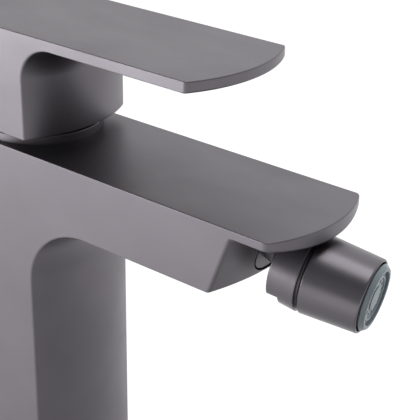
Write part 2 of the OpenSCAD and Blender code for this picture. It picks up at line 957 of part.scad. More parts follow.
module aerator_seal() {
    color(rubber)
        at_nozzle()
            translate([0, 0, spigot_end])
                ring(spigot_r, collar_bore_r, aerator_start - spigot_end);
}

body();
base_seal();
fixing_stud();
horseshoe_pad();
horseshoe_plate();
fixing_nut();
cartridge_base();
port_seals();
fixed_disc();
cartridge_housing();
retaining_nut();
cap_ring();
ball_neck();
neck_seal();
turret();
pivot_pin();
lever_stem();
lever_handle();
grub_screw();
screw_plug();
disc_carrier();
moving_disc();
friction_ring();
ball_seal();
nozzle_collar();
nozzle_sleeve();
aerator_housing();
aerator_screen();
aerator_grille();
aerator_seal();
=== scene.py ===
# %% [markdown]
# # A bidet mixer, dressed step by step
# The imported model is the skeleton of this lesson: every piece has its real size and place, in metres.
# Blender adds what a machine drawing leaves out: edges with a small radius that catch the light,
# a satin graphite finish, and the soft studio round it.

# %% Load the skeleton
import json
import math

import bmesh
import bpy
from mathutils import Matrix, Vector


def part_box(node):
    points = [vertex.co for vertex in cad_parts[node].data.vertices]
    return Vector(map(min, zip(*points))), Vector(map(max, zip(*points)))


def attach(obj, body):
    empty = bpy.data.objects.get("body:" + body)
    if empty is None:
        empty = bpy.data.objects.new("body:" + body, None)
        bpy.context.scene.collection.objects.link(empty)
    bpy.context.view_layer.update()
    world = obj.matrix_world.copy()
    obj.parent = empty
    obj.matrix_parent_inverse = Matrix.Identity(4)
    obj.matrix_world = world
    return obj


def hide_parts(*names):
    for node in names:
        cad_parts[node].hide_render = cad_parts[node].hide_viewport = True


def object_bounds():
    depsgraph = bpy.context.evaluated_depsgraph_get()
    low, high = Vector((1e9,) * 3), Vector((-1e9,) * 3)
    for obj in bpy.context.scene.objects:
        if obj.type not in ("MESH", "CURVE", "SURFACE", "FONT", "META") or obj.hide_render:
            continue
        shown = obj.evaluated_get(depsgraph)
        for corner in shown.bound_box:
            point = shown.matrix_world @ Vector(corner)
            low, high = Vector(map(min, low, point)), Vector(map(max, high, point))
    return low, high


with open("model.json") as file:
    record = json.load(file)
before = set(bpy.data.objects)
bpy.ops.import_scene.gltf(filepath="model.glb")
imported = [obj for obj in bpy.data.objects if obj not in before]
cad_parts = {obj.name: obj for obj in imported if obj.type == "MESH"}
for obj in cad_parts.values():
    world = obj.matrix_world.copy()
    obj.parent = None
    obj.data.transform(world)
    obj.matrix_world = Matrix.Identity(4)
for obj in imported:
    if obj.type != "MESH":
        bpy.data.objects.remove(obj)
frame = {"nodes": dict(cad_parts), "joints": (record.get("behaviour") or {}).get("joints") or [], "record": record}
cad_low, cad_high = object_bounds()
MM = 0.001
joints = {joint["name"]: joint for joint in frame["joints"]}

# %% [markdown]
# The camera comes first, because every later choice is judged through it.
# A long lens from above the front corner shows the spout, the lever and the nozzle at once.
# The place is given as a target and two angles, which is easier to think about than raw coordinates.

# %% Camera
VIEW_TARGET = Vector((75.24, 0.0, 118.18)) * MM
VIEW_AZIMUTH = 39.7
VIEW_ELEVATION = 24.89
VIEW_ROLL = 0.97
VIEW_DISTANCE = 387.78 * MM
VIEW_LENS = 107.4


def camera_axes(azimuth, elevation, roll):
    """Right, up and backward axes of a camera that looks at the object from these angles, in degrees."""
    a, e, r = (math.radians(angle) for angle in (azimuth, elevation, roll))
    back = Vector((math.sin(a) * math.cos(e), -math.cos(a) * math.cos(e), math.sin(e)))
    level = Vector((math.cos(a), math.sin(a), 0.0))
    upright = back.cross(level)
    right = level * math.cos(r) + upright * math.sin(r)
    return right, back.cross(right), back


right, up, back = camera_axes(VIEW_AZIMUTH, VIEW_ELEVATION, VIEW_ROLL)
camera = bpy.data.objects.new("camera", bpy.data.cameras.new("camera"))
bpy.context.scene.collection.objects.link(camera)
camera.data.lens = VIEW_LENS
camera.data.clip_start = 0.01
turn = Matrix((right, up, back)).transposed().to_4x4()
camera.matrix_world = Matrix.Translation(VIEW_TARGET + back * VIEW_DISTANCE) @ turn
bpy.context.scene.camera = camera
print("camera at", [round(v, 3) for v in camera.matrix_world.translation])

# %% [markdown]
# Real metal and plastic are never one flat colour. Three effects are shared by the finishes here,
# so each is a node group that is built once: a fine grain, as blasting or moulding leaves it,
# brushed lines, as a lathe or a mill leaves them, and faint handling marks,
# which are large soft clouds where a surface is a little more or less dull.
# The groups put out masks and heights only, and each material decides what to do with them.

# %% Shared surface effects
def new_group(name, inputs, outputs):
    """An empty shader node group with named number sockets, and its input and output nodes."""
    group = bpy.data.node_groups.new(name, "ShaderNodeTree")
    for socket_name, value in inputs.items():
        socket = group.interface.new_socket(socket_name, in_out="INPUT", socket_type="NodeSocketFloat")
        socket.default_value = value
    for socket_name in outputs:
        group.interface.new_socket(socket_name, in_out="OUTPUT", socket_type="NodeSocketFloat")
    return group, group.nodes.new("NodeGroupInput"), group.nodes.new("NodeGroupOutput")


def add_noise(group, scale_socket, detail, stretch):
    """Noise in the object's own space, stretched along X where stretch is under 1."""
    place = group.nodes.new("ShaderNodeTexCoord")
    squeeze = group.nodes.new("ShaderNodeMapping")
    squeeze.inputs["Scale"].default_value = (stretch, 1.0, 1.0)
    noise = group.nodes.new("ShaderNodeTexNoise")
    noise.inputs["Detail"].default_value = detail
    group.links.new(place.outputs["Object"], squeeze.inputs["Vector"])
    group.links.new(squeeze.outputs["Vector"], noise.inputs["Vector"])
    group.links.new(scale_socket, noise.inputs["Scale"])
    return noise.outputs["Fac"]


def add_ramp(group, value, low, high):
    """Spreads the middle of a noise, from low to high, over the whole range from 0 to 1."""
    ramp = group.nodes.new("ShaderNodeMapRange")
    ramp.inputs["From Min"].default_value = low
    ramp.inputs["From Max"].default_value = high
    group.links.new(value, ramp.inputs["Value"])
    return ramp.outputs["Result"]


def make_grain_group():
    group, inside, outside = new_group("fine_grain", {"Scale": 2500.0}, ["Mask", "Height"])
    speck = add_noise(group, inside.outputs["Scale"], 3.0, 1.0)
    group.links.new(add_ramp(group, speck, 0.3, 0.7), outside.inputs["Mask"])
    group.links.new(speck, outside.inputs["Height"])
    return group


def make_brush_group():
    group, inside, outside = new_group("brushed_lines", {"Scale": 900.0}, ["Mask", "Height"])
    line = add_noise(group, inside.outputs["Scale"], 2.0, 0.06)
    group.links.new(add_ramp(group, line, 0.3, 0.7), outside.inputs["Mask"])
    group.links.new(line, outside.inputs["Height"])
    return group


def make_handling_group():
    group, inside, outside = new_group("handling_marks", {"Scale": 45.0}, ["Mask"])
    cloud = add_noise(group, inside.outputs["Scale"], 4.0, 0.6)
    group.links.new(add_ramp(group, cloud, 0.35, 0.65), outside.inputs["Mask"])
    return group


fine_grain = make_grain_group()
brushed_lines = make_brush_group()
handling_marks = make_handling_group()
print("shared effects:", [group.name for group in bpy.data.node_groups])

# %% [markdown]
# Each finish is one material. The helper places the shared groups, mixes two close tones of the colour
# by the handling marks, lets both effects vary the roughness, and turns the grain into a shallow bump.
# What is the same all over, such as metallic, is set straight on the shader.

# %% Finish helper
BUMP_DEPTH = 0.02 * MM


def place_group(material, group, scale):
    node = material.node_tree.nodes.new("ShaderNodeGroup")
    node.node_tree = group
    node.inputs["Scale"].default_value = scale
    return node


def make_finish(name, tone, other_tone, roughness, texture, texture_scale, bump, marks_scale=45.0, **fixed):
    """A material with two tones, a roughness range (low, high) and a bumped texture group."""
    material = bpy.data.materials.new(name)
    material.use_nodes = True
    nodes, links = material.node_tree.nodes, material.node_tree.links
    shader = nodes["Principled BSDF"]
    grain = place_group(material, texture, texture_scale)
    marks = place_group(material, handling_marks, marks_scale)
    colour = nodes.new("ShaderNodeMix")
    colour.data_type = "RGBA"
    colour.inputs["A"].default_value = (*tone, 1.0)
    colour.inputs["B"].default_value = (*other_tone, 1.0)
    links.new(marks.outputs["Mask"], colour.inputs["Factor"])
    links.new(colour.outputs["Result"], shader.inputs["Base Color"])
    blend = nodes.new("ShaderNodeMath")
    blend.operation = "MULTIPLY_ADD"
    blend.inputs[1].default_value = 0.5
    links.new(grain.outputs["Mask"], blend.inputs[0])
    half_marks = nodes.new("ShaderNodeMath")
    half_marks.operation = "MULTIPLY"
    half_marks.inputs[1].default_value = 0.5
    links.new(marks.outputs["Mask"], half_marks.inputs[0])
    links.new(half_marks.outputs[0], blend.inputs[2])
    dull = nodes.new("ShaderNodeMapRange")
    dull.inputs["To Min"].default_value = roughness[0]
    dull.inputs["To Max"].default_value = roughness[1]
    links.new(blend.outputs[0], dull.inputs["Value"])
    links.new(dull.outputs["Result"], shader.inputs["Roughness"])
    ridges = nodes.new("ShaderNodeBump")
    ridges.inputs["Strength"].default_value = bump
    ridges.inputs["Distance"].default_value = BUMP_DEPTH
    links.new(grain.outputs["Height"], ridges.inputs["Height"])
    links.new(ridges.outputs["Normal"], shader.inputs["Normal"])
    for socket, value in fixed.items():
        shader.inputs[socket].default_value = value
    return material


print("finish helper: two tones, bump of", BUMP_DEPTH / MM, "mm")

# %% [markdown]
# With the helper in place each finish is one short call. The graphite coating comes in two kinds:
# satin on the castings, and a little smoother on the pieces that were turned on a lathe.
# The record names a finish slot for every node, and the loop puts the finishes there.

# %% Finishes
GRAPHITE = (0.148, 0.138, 0.153)
WORN_GRAPHITE = (0.136, 0.127, 0.141)


def satin_graphite():
    return make_finish("satin_graphite", GRAPHITE, WORN_GRAPHITE, (0.38, 0.46),
                       fine_grain, 2600.0, 0.25, Metallic=1.0)


def turned_graphite():
    return make_finish("turned_graphite", GRAPHITE, WORN_GRAPHITE, (0.30, 0.38),
                       fine_grain, 2600.0, 0.2, Metallic=1.0)


def dark_seal_rubber():
    return make_finish("dark_seal_rubber", (0.018, 0.018, 0.019), (0.028, 0.028, 0.029), (0.62, 0.80),
                       fine_grain, 1800.0, 0.5)


def zinc_plated_steel():
    return make_finish("zinc_plated_steel", (0.56, 0.56, 0.57), (0.48, 0.49, 0.51), (0.26, 0.42),
                       brushed_lines, 1100.0, 0.3, Metallic=1.0)


def machined_brass():
    return make_finish("machined_brass", (0.72, 0.52, 0.22), (0.64, 0.45, 0.18), (0.22, 0.36),
                       brushed_lines, 1300.0, 0.3, Metallic=1.0)


def moulded_acetal():
    return make_finish("moulded_acetal", (0.72, 0.72, 0.68), (0.66, 0.66, 0.62), (0.40, 0.52),
                       fine_grain, 1500.0, 0.2)


def lapped_ceramic():
    return make_finish("lapped_ceramic", (0.82, 0.80, 0.75), (0.77, 0.76, 0.71), (0.16, 0.24),
                       fine_grain, 3200.0, 0.08)


def aerator_plastic():
    return make_finish("aerator_plastic", (0.250, 0.300, 0.330), (0.215, 0.262, 0.292), (0.34, 0.46),
                       fine_grain, 2200.0, 0.2, marks_scale=120.0)


finishes = {
    "satin_graphite": satin_graphite(),
    "black_rubber": dark_seal_rubber(),
    "zinc_steel": zinc_plated_steel(),
    "brass": machined_brass(),
    "white_acetal": moulded_acetal(),
    "ceramic": lapped_ceramic(),
    "aerator_plastic": aerator_plastic(),
}
for subpart in frame["record"]["subparts"]:
    node = frame["nodes"][subpart["node"]]
    node.data.materials.clear()
    node.data.materials.append(finishes[subpart["material_slot"]])
print("finishes:", sorted(finishes))

# %% [markdown]
# The body and the lever are castings that are flat on both sides and bowed at the front.
# A box with bevels would do for the sides, but the bow changes along the width.
# So both are lofted: a side outline is worked out at each station across the width and the stations are
# joined with quads. The last few stations shrink the outline a little, which rounds the long edges.

# %% Sizes of the castings, read from the skeleton
body_low, body_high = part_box("body")
lever_low, lever_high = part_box("lever_handle")
HALF_WIDTH = body_high.y
COLUMN_REACH = -body_low.x
SPOUT_REACH = body_high.x
SPOUT_TOP = body_high.z
FRONT_BOW = 6.4 * MM
SPOUT_DEPTH = 23.0 * MM
SPOUT_UNDER = SPOUT_TOP - SPOUT_DEPTH
THROAT_RADIUS = 24.0 * MM
PLATE_SIDE = 2.8 * MM
PLATE_MIDDLE = 5.0 * MM
SLANT_FOOT = 97.4 * MM
SLANT_BOW = 3.1 * MM
SLANT_ANGLE = math.radians(21.0)
LEVER_PLATE = 3.6 * MM
LEVER_THROAT = 12.0 * MM
LIFT_ANGLE = math.radians(joints["lever_lift"]["range_deg"][1])
SIDE_EDGE = 0.3 * MM
EDGE_RADIUS = 0.4 * MM
POST_CORNER = 0.4 * MM
SLANT_CORNER = 0.8 * MM
SPOUT_CORNER = 1.3 * MM
LEVER_CORNER = 0.7 * MM


def bow_radius(bow):
    return (HALF_WIDTH ** 2 + bow ** 2) / (2 * bow)


def bow_drop(y, bow):
    """How far a bowed face has fallen back at y from its crown at the middle."""
    return bow_radius(bow) - math.sqrt(bow_radius(bow) ** 2 - y ** 2)


def corner_drop(y, radius):
    """How far an outline falls back near the sides, where its upright corner is rounded in plan."""
    past = abs(y) - (HALF_WIDTH - radius)
    return radius - math.sqrt(max(radius ** 2 - past ** 2, 0.0)) if past > 0 else 0.0


print("casting width", round(2 * HALF_WIDTH / MM, 1), "mm, spout reach", round(SPOUT_REACH / MM, 1), "mm")

# %% [markdown]
# An outline is a list of points in the side view, so each point is (x, z).
# These helpers round its corners, work out the hollow throat under a face, move an outline inwards,
# and choose the stations across the width.

# %% Outline helpers
CORNER_STEPS = 5
THROAT_STEPS = 18
STATION_STEPS = 20
EDGE_STEPS = 4


def rounded(corners):
    """Points of a closed outline, with each corner (x, z, radius) turned into a short arc."""
    points = []
    for index, (x, z, radius) in enumerate(corners):
        corner = Vector((x, z))
        if radius == 0:
            points.append(corner)
            continue
        before = (Vector(corners[index - 1][:2]) - corner).normalized()
        after = (Vector(corners[(index + 1) % len(corners)][:2]) - corner).normalized()
        half = before.angle(after) / 2
        centre = corner + (before + after).normalized() * (radius / math.sin(half))
        start = corner + before * (radius / math.tan(half)) - centre
        end = corner + after * (radius / math.tan(half)) - centre
        sweep = start.angle(end)
        for step in range(CORNER_STEPS + 1):
            share = step / CORNER_STEPS
            along = start * math.sin((1 - share) * sweep) + end * math.sin(share * sweep)
            points.append(centre + along / math.sin(sweep))
    return points


def throat(y, under, radius):
    """Hollow corner under a face: it follows the bow of the column's front as a ring follows a post."""
    bow = bow_radius(FRONT_BOW)
    middle = COLUMN_REACH - bow
    corners = []
    for step in range(THROAT_STEPS + 1):
        angle = math.radians(90) * step / THROAT_STEPS
        out = radius * (1 - math.cos(angle))
        x = middle + math.sqrt((bow + out) ** 2 - y ** 2) - corner_drop(y, POST_CORNER)
        corners.append((x, under - radius + radius * math.sin(angle), 0))
    return corners


def shrunk(points, inset):
    """The same outline, moved inwards by inset along each point's own normal."""
    moved = []
    for index, point in enumerate(points):
        ahead = (points[(index + 1) % len(points)] - point).normalized()
        behind = (point - points[index - 1]).normalized()
        along = (ahead + behind).normalized()
        moved.append(point + Vector((-along.y, along.x)) * inset)
    return moved


def stations(edge):
    """(y, inset) across the width: steps that close up towards the sides, then a quarter round."""
    flat = HALF_WIDTH - edge
    spread = [math.radians(90) * step / STATION_STEPS for step in range(-STATION_STEPS, STATION_STEPS + 1)]
    inner = [(flat * math.sin(a), 0.0) for a in spread]
    turns = [math.radians(90) * step / EDGE_STEPS for step in range(1, EDGE_STEPS + 1)]
    outer = [(flat + edge * math.sin(a), edge * (1 - math.cos(a))) for a in turns]
    return [(-y, inset) for y, inset in reversed(outer)] + inner + outer


print("stations across the width:", len(stations(SIDE_EDGE)))

# %% [markdown]
# The loft joins the outlines of all stations with quads and closes both sides with one flat face each.
# Holes are cut afterwards with exact booleans, because a hole in a loft would spoil its even quads.

# %% Loft and cuts
CUT_START = 4 * MM
CUT_PAST = 60 * MM


def loft(name, outline, edge):
    """Mesh with the side outline outline(y), counter-clockwise seen from -Y, and rounded side edges."""
    mesh = bpy.data.meshes.new(name)
    made = bmesh.new()
    rows = []
    for y, inset in stations(edge):
        points = shrunk(outline(y), inset)
        rows.append([made.verts.new((point.x, y, point.y)) for point in points])
    count = len(rows[0])
    for near, far in zip(rows, rows[1:]):
        for i in range(count):
            made.faces.new((near[i], far[i], far[(i + 1) % count], near[(i + 1) % count]))
    made.faces.new(rows[0])
    made.faces.new(reversed(rows[-1]))
    bmesh.ops.recalc_face_normals(made, faces=made.faces)
    made.to_mesh(mesh)
    made.free()
    piece = bpy.data.objects.new(name, mesh)
    bpy.context.scene.collection.objects.link(piece)
    return piece


def drill(piece, place, radius, depth, inner=0.0, sides=96):
    """Cuts a round hole, or a ring-shaped groove, along the local +Z of place."""
    made = bmesh.new()
    rings = [(0.0, radius), (depth, radius)]
    if inner > 0:
        rings += [(depth, inner), (0.0, inner)]
    loops = []
    for height, size in rings:
        angles = [2 * math.pi * k / sides for k in range(sides)]
        loops.append([made.verts.new((size * math.cos(a), size * math.sin(a), height)) for a in angles])
    pairs = list(zip(loops, loops[1:]))
    if inner > 0:
        pairs.append((loops[-1], loops[0]))
    else:
        made.faces.new(reversed(loops[0]))
        made.faces.new(loops[-1])
    for low, high in pairs:
        for k in range(sides):
            made.faces.new((low[k], low[(k + 1) % sides], high[(k + 1) % sides], high[k]))
    bmesh.ops.recalc_face_normals(made, faces=made.faces)
    mesh = bpy.data.meshes.new("drill")
    made.to_mesh(mesh)
    made.free()
    cutter = bpy.data.objects.new("drill", mesh)
    cutter.matrix_world = place
    bpy.context.scene.collection.objects.link(cutter)
    subtract(piece, cutter)


def subtract(piece, cutter):
    """Takes the cutter's volume away from the piece for good, and throws the cutter away."""
    bpy.context.view_layer.update()
    cut = piece.modifiers.new("cut", "BOOLEAN")
    cut.operation = "DIFFERENCE"
    cut.solver = "EXACT"
    cut.object = cutter
    evaluated = piece.evaluated_get(bpy.context.evaluated_depsgraph_get())
    mesh = bpy.data.meshes.new_from_object(evaluated)
    piece.modifiers.clear()
    old = piece.data
    piece.data = mesh
    mesh.name = old.name
    bpy.data.meshes.remove(old)
    bpy.data.objects.remove(cutter)


print("cutters start", CUT_START / MM, "mm outside a face")

# %% [markdown]
# Three jobs are left for every new piece: its stray points are welded, its shading is set so that
# broad faces stay flat up to their rounded edges, and it is dressed,
# which gives it a finish and a body to ride on, and hides the skeleton's nodes that it takes the place of.

# %% Shading and dressing
WELD_REACH = MM / 1000
SHARP_ANGLE = 30.0


def weld(mesh):
    """Joins points that the cuts left within a micrometre of each other."""
    made = bmesh.new()
    made.from_mesh(mesh)
    bmesh.ops.remove_doubles(made, verts=made.verts, dist=WELD_REACH)
    bmesh.ops.dissolve_degenerate(made, edges=made.edges, dist=WELD_REACH)
    made.to_mesh(mesh)
    made.free()


def smooth(piece):
    """Smooth shading that keeps broad faces flat: large faces decide the normals along their edges."""
    weld(piece.data)
    piece.data.shade_smooth()
    piece.data.set_sharp_from_angle(angle=math.radians(SHARP_ANGLE))
    weights = piece.modifiers.new("flat_faces", "WEIGHTED_NORMAL")
    weights.keep_sharp = True
    weights.weight = 100


def dress(piece, body, slot, *nodes, finish=None):
    """Gives a new piece its finish, puts it on a body and hides the skeleton's plain nodes that it takes the place
    of.
    """
    piece.data.materials.clear()
    piece.data.materials.append(finish or finishes[slot])
    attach(piece, body)
    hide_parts(*nodes)
    print(piece.name, "has", len(piece.data.polygons), "faces")


def upright(x, y, z):
    return Matrix.Translation((x, y, z))


print("edges over", SHARP_ANGLE, "degrees stay sharp")

# %% [markdown]
# The body on the real mixer is one casting: a column that the deck carries, and a spout whose top plate
# runs on past a slanted front face. The slanted face leans out and bows less than the plate above it.
# The outline lists those corners once, as formulas of y, and the loft does the rest.

# %% Body casting
OVERHANG_RADIUS = 1.6 * MM
TIP_RADIUS = 0.7 * MM
FOOT_RADIUS = 0.8 * MM


def body_outline(y):
    column = COLUMN_REACH - bow_drop(y, FRONT_BOW) - corner_drop(y, POST_CORNER)
    plate = SPOUT_TOP - PLATE_MIDDLE + bow_drop(y, PLATE_MIDDLE - PLATE_SIDE)
    foot = SLANT_FOOT - bow_drop(y, SLANT_BOW) / math.cos(SLANT_ANGLE) - corner_drop(y, SLANT_CORNER)
    head = foot + (plate - SPOUT_UNDER) * math.tan(SLANT_ANGLE)
    tip = SPOUT_REACH - bow_drop(y, FRONT_BOW) - corner_drop(y, SPOUT_CORNER)
    return rounded(
        [(-column, 0.0, EDGE_RADIUS), (column, 0.0, EDGE_RADIUS)]
        + throat(y, SPOUT_UNDER, THROAT_RADIUS)
        + [
            (foot, SPOUT_UNDER, FOOT_RADIUS),
            (head, plate, OVERHANG_RADIUS),
            (tip, plate, TIP_RADIUS),
            (tip, SPOUT_TOP, EDGE_RADIUS),
            (-column, SPOUT_TOP, EDGE_RADIUS),
        ]
    )


body_shell = loft("body_shell", body_outline, SIDE_EDGE)
print("body loft:", len(body_shell.data.vertices), "points")

# %% [markdown]
# The casting is bored for the cartridge, the stud, the hoses and the outlet.
# Most of these holes are hidden, but a model that comes apart on the bench should show them.
# Their places come from the pieces that sit in them, so that nothing is guessed twice.

# %% Bores of the body
FIT = 0.05 * MM
OUTLET_RECESS = 8.5 * MM
OUTLET_RECESS_DEPTH = 2.6 * MM
OUTLET_THREAD = 6.5 * MM
OUTLET_THREAD_LENGTH = 11.0 * MM
SEAL_GROOVE = 2.5 * MM


def half_span(node):
    low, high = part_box(node)
    return (high.y - low.y) / 2


nut_low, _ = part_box("retaining_nut")
base_low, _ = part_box("cartridge_base")
drill(body_shell, upright(0, 0, nut_low.z), half_span("retaining_nut") + FIT, CUT_PAST)
drill(body_shell, upright(0, 0, base_low.z), half_span("cartridge_base") + FIT, CUT_PAST)
for mount in frame["record"]["mounts"]:
    if mount["kind"] == "threaded_hole":
        x, y, _ = mount["pos_m"]
        dims = mount["dims"]
        drill(body_shell, upright(x, y, -MM), dims["r_mm"] * MM, MM + dims["length_mm"] * MM)
stud_low, stud_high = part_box("fixing_stud")
stud_x = (stud_low.x + stud_high.x) / 2
drill(body_shell, upright(stud_x, 0, -MM), half_span("fixing_stud") + FIT, stud_high.z + MM + FIT)
_, seal_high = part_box("base_seal")
drill(body_shell, upright(0, 0, -MM), seal_high.y + FIT, seal_high.z + MM + FIT, seal_high.y - SEAL_GROOVE)
ball_centre = Vector(joints["nozzle_swing"]["pos_m"])
face_x = SLANT_FOOT + (ball_centre.z - SPOUT_UNDER) * math.tan(SLANT_ANGLE)
ball_out = (ball_centre.x - face_x) * math.cos(SLANT_ANGLE)
outlet_turn = Matrix.Rotation(SLANT_ANGLE - math.radians(90), 4, "Y")
outlet_place = Matrix.Translation(ball_centre) @ outlet_turn
drill(body_shell, outlet_place @ upright(0, 0, ball_out - CUT_START), OUTLET_RECESS,
      OUTLET_RECESS_DEPTH + CUT_START)
drill(body_shell, outlet_place @ upright(0, 0, ball_out), OUTLET_THREAD + FIT,
      OUTLET_RECESS_DEPTH + OUTLET_THREAD_LENGTH)
smooth(body_shell)
dress(body_shell, "fixed", "satin_graphite", "body")

# %% [markdown]
# The lever is a zinc casting too: a hollow block over the cartridge and a thin plate to lift.
# It is lofted the same way. The back of the block is relieved, so that it can dip as the plate lifts.

# %% Lever
LEVER_BACK_RADIUS = 0.6 * MM
RELIEF_RADIUS = 1.0 * MM


def lever_outline(y):
    column = COLUMN_REACH - bow_drop(y, FRONT_BOW) - corner_drop(y, POST_CORNER)
    tip = lever_high.x - bow_drop(y, FRONT_BOW) - corner_drop(y, LEVER_CORNER)
    plate = lever_high.z - LEVER_PLATE
    relief = lever_low.z + column * math.tan(LIFT_ANGLE)
    return rounded(
        [
            (-column, relief, EDGE_RADIUS),
            (0.0, lever_low.z, RELIEF_RADIUS),
            (column, lever_low.z, EDGE_RADIUS),
        ]
        + throat(y, plate, LEVER_THROAT)
        + [
            (tip, plate, TIP_RADIUS),
            (tip, lever_high.z, EDGE_RADIUS),
            (-column, lever_high.z, LEVER_BACK_RADIUS),
        ]
    )


lever_shell = loft("lever_shell", lever_outline, SIDE_EDGE)
print("lever loft:", len(lever_shell.data.vertices), "points")

# %% [markdown]
# The lever's block is hollow round a boss. The boss has a square hole for the cartridge's stem,
# and a screw from the back, under a small plug, keeps the lever on it.

# %% Hollow of the lever
HOLLOW_RADIUS = 16.0 * MM
HOLLOW_HEIGHT = 8.0 * MM
BOSS_RADIUS = 9.0 * MM
LEVER_ROOF = 6.0 * MM
hollow_top = lever_low.z + HOLLOW_HEIGHT
drill(lever_shell, upright(0, 0, lever_low.z - CUT_START), HOLLOW_RADIUS, HOLLOW_HEIGHT + CUT_START)
roof_depth = lever_high.z - LEVER_ROOF - hollow_top
drill(lever_shell, upright(0, 0, hollow_top - FIT), HOLLOW_RADIUS, roof_depth, BOSS_RADIUS)
_, stem_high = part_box("lever_stem")
square_reach = math.sqrt(2) * (half_span("lever_stem") + FIT)
square_place = upright(0, 0, hollow_top - MM) @ Matrix.Rotation(math.radians(45), 4, "Z")
drill(lever_shell, square_place, square_reach, stem_high.z - hollow_top + MM + FIT, sides=4)
plug_low, plug_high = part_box("screw_plug")
screw_z = (plug_low.z + plug_high.z) / 2
backwards = Matrix.Rotation(math.radians(-90), 4, "Y")
drill(lever_shell, upright(0, 0, screw_z) @ backwards, half_span("grub_screw") + FIT, 2 * COLUMN_REACH)
plug_place = upright(plug_high.x, 0, screw_z) @ backwards
drill(lever_shell, plug_place, half_span("screw_plug") + FIT, COLUMN_REACH)
smooth(lever_shell)
dress(lever_shell, "lever", "satin_graphite", "lever_handle")

# %% [markdown]
# The nozzle's pieces are turned on a lathe, so they are turned here too: an outline of radius and
# distance along the axis, swept round the axis. The axis and its origin are the nozzle's own joint.

# %% Lathe
LATHE_STEPS = 160
SEAM_REACH = 1e-7
nozzle_axis = Vector(joints["nozzle_spin"]["axis"]).normalized()
nozzle_side = Vector(joints["nozzle_nod"]["axis"]).normalized()
nozzle_turn = Matrix((nozzle_side.cross(nozzle_axis), nozzle_side, nozzle_axis)).transposed()
nozzle_place = Matrix.Translation(ball_centre) @ nozzle_turn.to_4x4()


def lathe(name, corners, place):
    """Closed outline of (radius, distance, corner radius), in mm, swept round the local Z of place."""
    outline = rounded([(r * MM, s * MM, round_off * MM) for r, s, round_off in corners])
    made = bmesh.new()
    angles = [2 * math.pi * k / LATHE_STEPS for k in range(LATHE_STEPS)]
    rings = []
    for a in angles:
        spin = Vector((math.cos(a), math.sin(a), 0.0))
        swept = [place @ (spin * point.x + Vector((0, 0, point.y))) for point in outline]
        rings.append([made.verts.new(point) for point in swept])
    count = len(outline)
    for k in range(LATHE_STEPS):
        this, other = rings[k], rings[(k + 1) % LATHE_STEPS]
        for i in range(count):
            made.faces.new((this[i], other[i], other[(i + 1) % count], this[(i + 1) % count]))
    bmesh.ops.remove_doubles(made, verts=made.verts, dist=SEAM_REACH)
    bmesh.ops.recalc_face_normals(made, faces=made.faces)
    mesh = bpy.data.meshes.new(name)
    made.to_mesh(mesh)
    made.free()
    piece = bpy.data.objects.new(name, mesh)
    bpy.context.scene.collection.objects.link(piece)
    return piece


def along_axis(node):
    """(start, end) of a nozzle node along the nozzle's axis, in millimetres from the ball's centre."""
    vertices = frame["nodes"][node].data.vertices
    steps = [(vertex.co - ball_centre).dot(nozzle_axis) / MM for vertex in vertices]
    return min(steps), max(steps)


collar_start, collar_end = along_axis("nozzle_collar")
sleeve_start, sleeve_end = along_axis("nozzle_sleeve")
aerator_start, aerator_end = along_axis("aerator_housing")
print("nozzle from", round(collar_start, 2), "to", round(aerator_end, 2), "mm along its axis")

# %% [markdown]
# The collar grips the ball and has two flats for a spanner. The sleeve screws over it,
# and the dark line between them is a real groove, because a painted line would not hold its shadow.

# %% Collar and sleeve
COLLAR_BACK_R = 11.6
COLLAR_R = 12.5
SLEEVE_FRONT_R = 11.6
GROOVE_R = 11.1
SPIGOT_R = 10.4
SOCKET_R = 8.9
COLLAR_BORE = 7.5
AERATOR_R = 10.5
THREAD_GAP = 0.05
GROOVE_WIDTH = 0.7
RIM_GAP = 0.4
RIM_GAP_DEPTH = 2.0
COLLAR_FRONT = sleeve_start - GROOVE_WIDTH
SLEEVE_LIP = 0.8
FLAT_HALF = 10.5
FLAT_LENGTH = 4.0
FLAT_TURN = -35.0
BLOCK_THICK = 8.0
BLOCK_WIDE = 40.0


def socket_points():
    """Inside of the collar: a ball-shaped seat from the mouth to the bore."""
    points = []
    first = math.acos(collar_start / SOCKET_R)
    last = math.asin(COLLAR_BORE / SOCKET_R)
    for step in range(THROAT_STEPS + 1):
        angle = last + (first - last) * step / THROAT_STEPS
        points.append((SOCKET_R * math.sin(angle), SOCKET_R * math.cos(angle), 0))
    return points


collar = lathe("collar", socket_points() + [
    (COLLAR_BACK_R, collar_start, 0.5),
    (COLLAR_R, COLLAR_FRONT, 0.3),
    (GROOVE_R, COLLAR_FRONT, 0),
    (GROOVE_R, sleeve_start, 0),
    (SPIGOT_R, sleeve_start, 0),
    (SPIGOT_R, collar_end, 0),
    (COLLAR_BORE, collar_end, 0),
], nozzle_place)


def spanner_flat(side):
    """A block that cuts one flat on the collar's back part."""
    made = bmesh.new()
    bmesh.ops.create_cube(made, size=1.0)
    mesh = bpy.data.meshes.new("flat_cutter")
    made.to_mesh(mesh)
    made.free()
    block = bpy.data.objects.new("flat_cutter", mesh)
    spin = Matrix.Rotation(math.radians(FLAT_TURN + side), 4, "Z")
    size = Matrix.Diagonal((BLOCK_THICK * MM, BLOCK_WIDE * MM, 2 * FLAT_LENGTH * MM, 1.0))
    block_x = FLAT_HALF + BLOCK_THICK / 2
    block.matrix_world = nozzle_place @ spin @ upright(block_x * MM, 0, collar_start * MM) @ size
    bpy.context.scene.collection.objects.link(block)
    return block


for side in (0, 180):
    subtract(collar, spanner_flat(side))
smooth(collar)
turned_finish = turned_graphite()
dress(collar, "nozzle", "satin_graphite", "nozzle_collar", finish=turned_finish)

